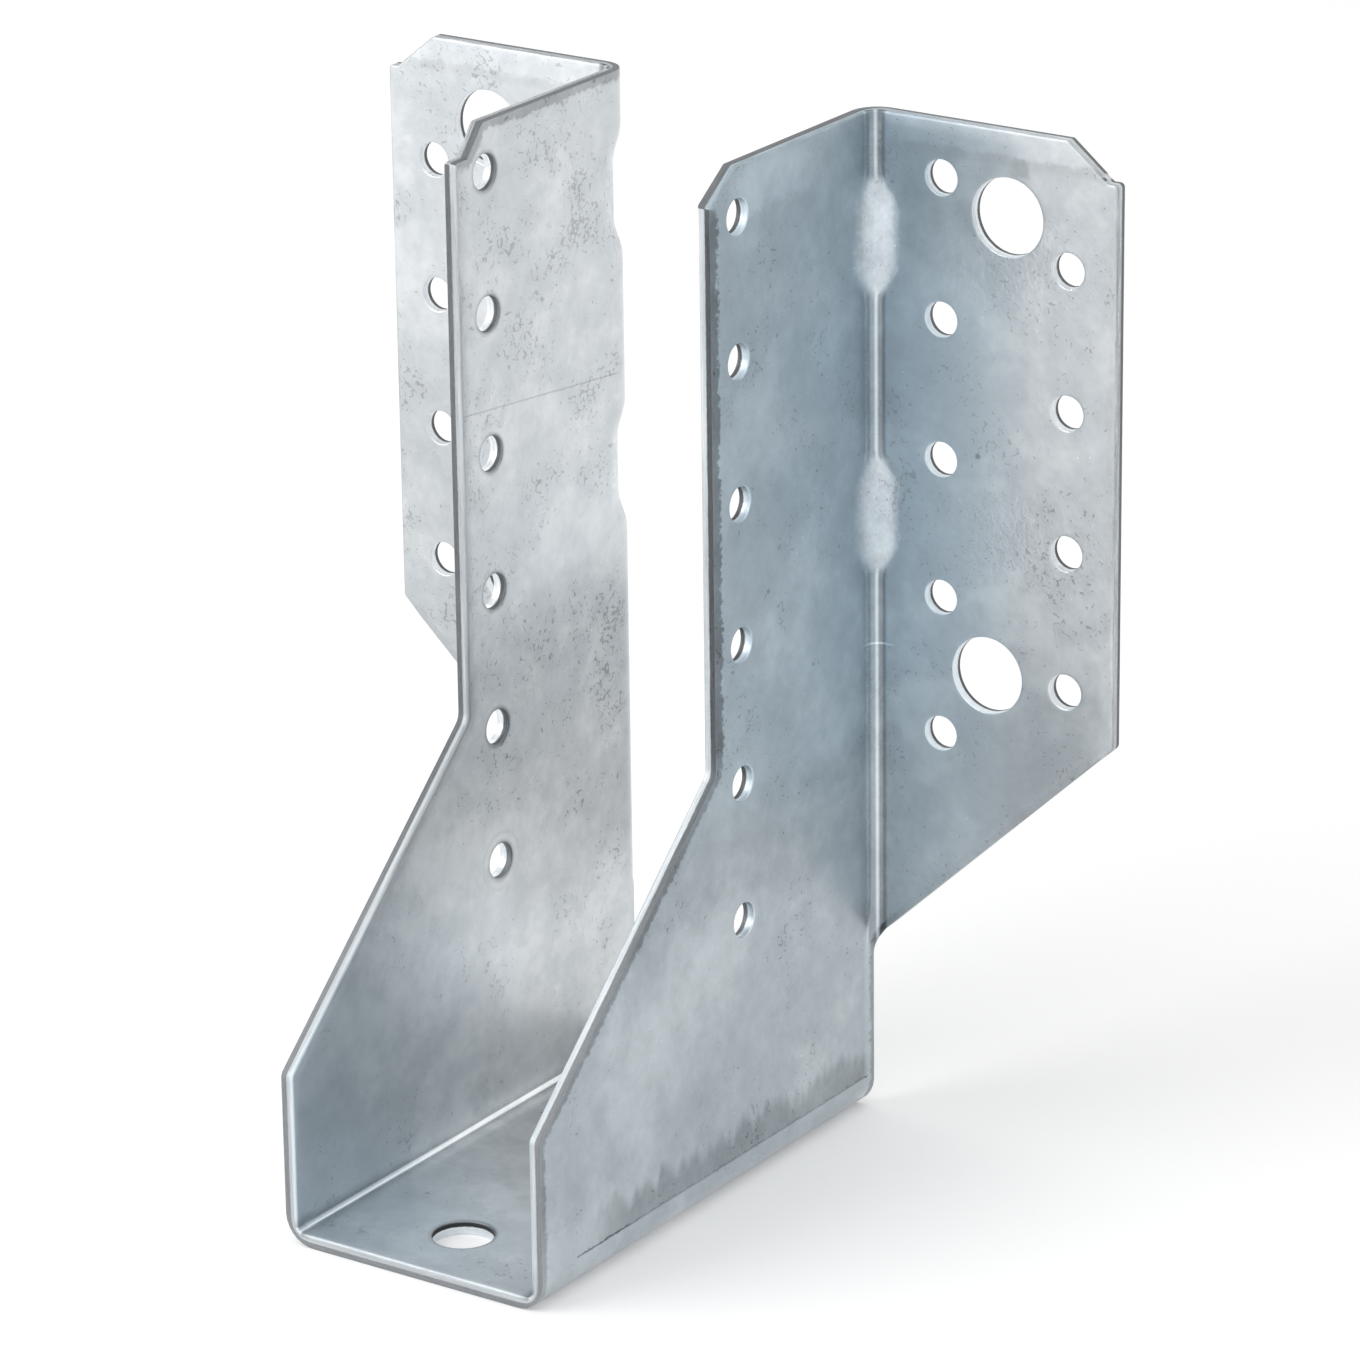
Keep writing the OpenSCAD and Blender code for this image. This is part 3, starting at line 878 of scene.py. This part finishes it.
    # The flanges' top edge has a painted highlight band with a darker one under it, and the seat hole's
    # bore is painted dark as shadow.
    flange_top_painted_highlight = net.product(on_flange, net.step(net.total(height_up, (ragged, 0.8)),
                                               BLANK_TOP - 4.0, BLANK_TOP - 3.0))
    under_band = net.product(on_flange, net.near(net.total(height_up, (ragged, 1.6)), BLANK_TOP - 4.2, 0.7))
    seat_bore_painted_shadow = net.product(cut, net.step(height_up, SEAT_HALF, SEAT_HALF - 3),
                            net.step(b, FRONT_Y + 3, FRONT_Y + 5))

    # How much lighter the burnished metal is: most in the holes, less and unevenly along the outline.
    on_outline = net.step(hole, 0.3, 0.8)
    rim_tone = net.total(0.42, (on_outline, -0.36), (on_outline, less(outside), -0.16),
                         (on_outline, outside, net.total(-0.30, (ragged, 1.2))),
                         (on_outline, net.step(a, WALL_FOOT, WALL_FOOT + 3), 0.16))

    # Tone: the zinc's own clouds, then what each mark takes away or adds, among them the painted highlights
    # and shade of the folds, the flanges' painted top highlight and the broad painted shading.
    tone = net.total(1.0, coat["Tone"], (coat["Pits"], -0.26, less(net.product(polish, 0.85))),
                     (coat["Flecks"], 0.22), (wide, dragged, -0.16), (dragged, -0.30), (collar, -0.24),
                     (fold_painted_shade, -0.50), (fold_painted_highlight, 0.22), (fold_painted_pale_line, 0.22),
                     (pressed, 0.10), (pressed, ragged, 0.25), (pressed, coat["Flecks"], 0.2),
                     (burnish, rim_tone), (scribe, -0.22), (die_line, -0.55), (tick, 0.45),
                     (dot, -0.55), (rub, -0.26), (rings, -0.08), (smudge, -0.16), (rubbed_pale, 0.14),
                     shade, (flange_top_painted_highlight, 0.07), (under_band, -0.07))
    clouded = mixed(coat["Bloom"], ZINC_DULL, ZINC_BRIGHT)
    # The bluer, darker colour mixed in here is a painted reflection.
    reflection_blued = net.add("ShaderNodeVectorMath", [clouded, REFLECTION_BLUE], operation="MULTIPLY").outputs["Vector"]
    painted_blueness = net.product(painted_reflection_tint, less(net.product(pressed, 0.4)))
    face_colour = scaled(mixed(painted_blueness, clouded, reflection_blued), tone)
    low_down = net.step(height_up, across(NOSE_Z + 36), across(NOSE_Z + 12))
    # Torn metal's tone; the seat bore's term darkens it as painted shadow.
    torn_tone_and_bore_shadow = net.total(0.95, (ragged, 1.1), (low_down, 0.4), (seat_bore_painted_shadow, -1.1), (right_front, -0.35),
                          (less(on_outline), -0.30))
    torn_tone_and_bore_shadow = net.math("MAXIMUM", torn_tone_and_bore_shadow, 0.25)
    net.feed(shader.inputs["Base Color"], mixed(tear, face_colour, scaled(TORN_STEEL, torn_tone_and_bore_shadow)))

    # Roughness, in the same way.
    drawn_down = net.product(net.step(edge, 2.4, 0.4), less(dragged))
    rough = net.total(0.29, (coat["Bloom"], 0.05), (coat["Pits"], 0.12), (coat["Tone"], -0.30),
                      (polish, -0.12), (pressed, 0.10), (tear, 0.28), (dragged, 0.16), (rub, 0.08),
                      (drawn_down, 0.14), (burnish, on_outline, net.total(0.08, (outside, 0.25))),
                      (painted_blueness, 0.07))
    net.feed(shader.inputs["Roughness"], net.add("ShaderNodeClamp", {
        "Value": rough, "Min": 0.12, "Max": 0.75}).outputs["Result"])

    bump = net.add("ShaderNodeBump", {"Strength": 1.0, "Distance": MM, "Height": coat["Height"]})
    net.feed(shader.inputs["Normal"], bump.outputs["Normal"])
    shader.inputs["Metallic"].default_value = 1
    return material


# ---------------------------------------------------------------- stage

FLOOR_WHITE = 0.14      # white added to the floor where it is seen
DULL_LIGHT = 0.76       # strength of the surroundings as light on dull surfaces


def seen_directly(net):
    """1 where the camera sees a surface, straight or in metal or glass, and 0 where it only gives light."""
    path = net.add("ShaderNodeLightPath").outputs
    return net.math("MAXIMUM", net.math("MAXIMUM", path["Is Camera Ray"], path["Is Glossy Ray"]),
                    path["Is Transmission Ray"])


def make_floor():
    """Square of pale floor, large enough to fill the view from every side.

    A little white is added where it is seen, so that it looks white around the object's shadow.
    """
    half = 6.0
    corners = [(-half, -half, 0), (half, -half, 0), (half, half, 0), (-half, half, 0)]
    mesh = bpy.data.meshes.new("floor")
    mesh.from_pydata(corners, [], [(0, 1, 2, 3)])
    floor = bpy.data.objects.new("floor", mesh)
    bpy.context.scene.collection.objects.link(floor)
    material = bpy.data.materials.new("pale_floor")
    material.use_nodes = True
    shader = material.node_tree.nodes["Principled BSDF"]
    shader.inputs["Base Color"].default_value = (0.93, 0.93, 0.93, 1)
    shader.inputs["Emission Color"].default_value = (1, 1, 1, 1)
    shader.inputs["Roughness"].default_value = 1
    shader.inputs["Specular IOR Level"].default_value = 0
    net = Net(material.node_tree)
    net.feed(shader.inputs["Emission Strength"], net.product(seen_directly(net), FLOOR_WHITE))
    mesh.materials.append(material)


def make_world():
    """Surroundings: white to the camera and in reflections, a little dimmer as light on dull surfaces."""
    world = bpy.data.worlds.new("studio")
    bpy.context.scene.world = world
    world.use_nodes = True
    net = Net(world.node_tree)
    background = world.node_tree.nodes["Background"]
    background.inputs["Color"].default_value = (1, 1, 1, 1)
    net.feed(background.inputs["Strength"], net.total(DULL_LIGHT, (seen_directly(net), 1 - DULL_LIGHT)))


def make_lamp(name, azimuth, elevation, distance, size, power):
    """Square soft lamp aimed at the middle of the part, from a direction given in degrees."""
    lamp = bpy.data.lights.new(name, "AREA")
    lamp.shape = "SQUARE"
    lamp.size = size
    lamp.energy = power
    turn, lift = math.radians(azimuth), math.radians(elevation)
    way = Vector((math.sin(turn) * math.cos(lift), -math.cos(turn) * math.cos(lift), math.sin(lift)))
    holder = bpy.data.objects.new(name, lamp)
    bpy.context.scene.collection.objects.link(holder)
    holder.matrix_world = Matrix.Translation(Vector((0, 0, 0.07)) + way * distance) @ \
        way.to_track_quat("Z", "Y").to_matrix().to_4x4()


def make_camera():
    """Camera from its angles: azimuth from the front towards the right, elevation and roll, in degrees."""
    azimuth, elevation, roll = (math.radians(a) for a in (34.44, 20.16, -0.78))
    target = Vector((4.98, 16.25, 68.88)) * MM
    distance = 915.4 * MM
    back = Vector((math.sin(azimuth) * math.cos(elevation), -math.cos(azimuth) * math.cos(elevation),
                   math.sin(elevation)))
    right = (-back).cross(Vector((0, 0, 1))).normalized()
    up = right.cross(-back)
    tilted_right = math.cos(roll) * right + math.sin(roll) * up
    tilted_up = -math.sin(roll) * right + math.cos(roll) * up
    camera = bpy.data.cameras.new("camera")
    camera.sensor_width = 36
    camera.lens = 175.86
    holder = bpy.data.objects.new("camera", camera)
    bpy.context.scene.collection.objects.link(holder)
    turn = Matrix((tilted_right, tilted_up, back)).transposed().to_4x4()
    holder.matrix_world = Matrix.Translation(target + back * distance) @ turn
    bpy.context.scene.camera = holder


bpy.context.scene.view_settings.view_transform = "Standard"
make_camera()
make_world()
make_floor()
make_lamp("front_left_lamp", -36, 29, 1.6, 1.1, 12.0)
make_lamp("overhead_lamp", 60, 75, 1.6, 1.2, 2.5)

flat, level, faces, fields = sheet_mesh()
sheet = make_piece("hanger_sheet", fold(flat, level), faces, fields, flat / BLANK_UNIT)
sheet.data.materials.append(galvanised())
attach(sheet, "root")
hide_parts("hanger")
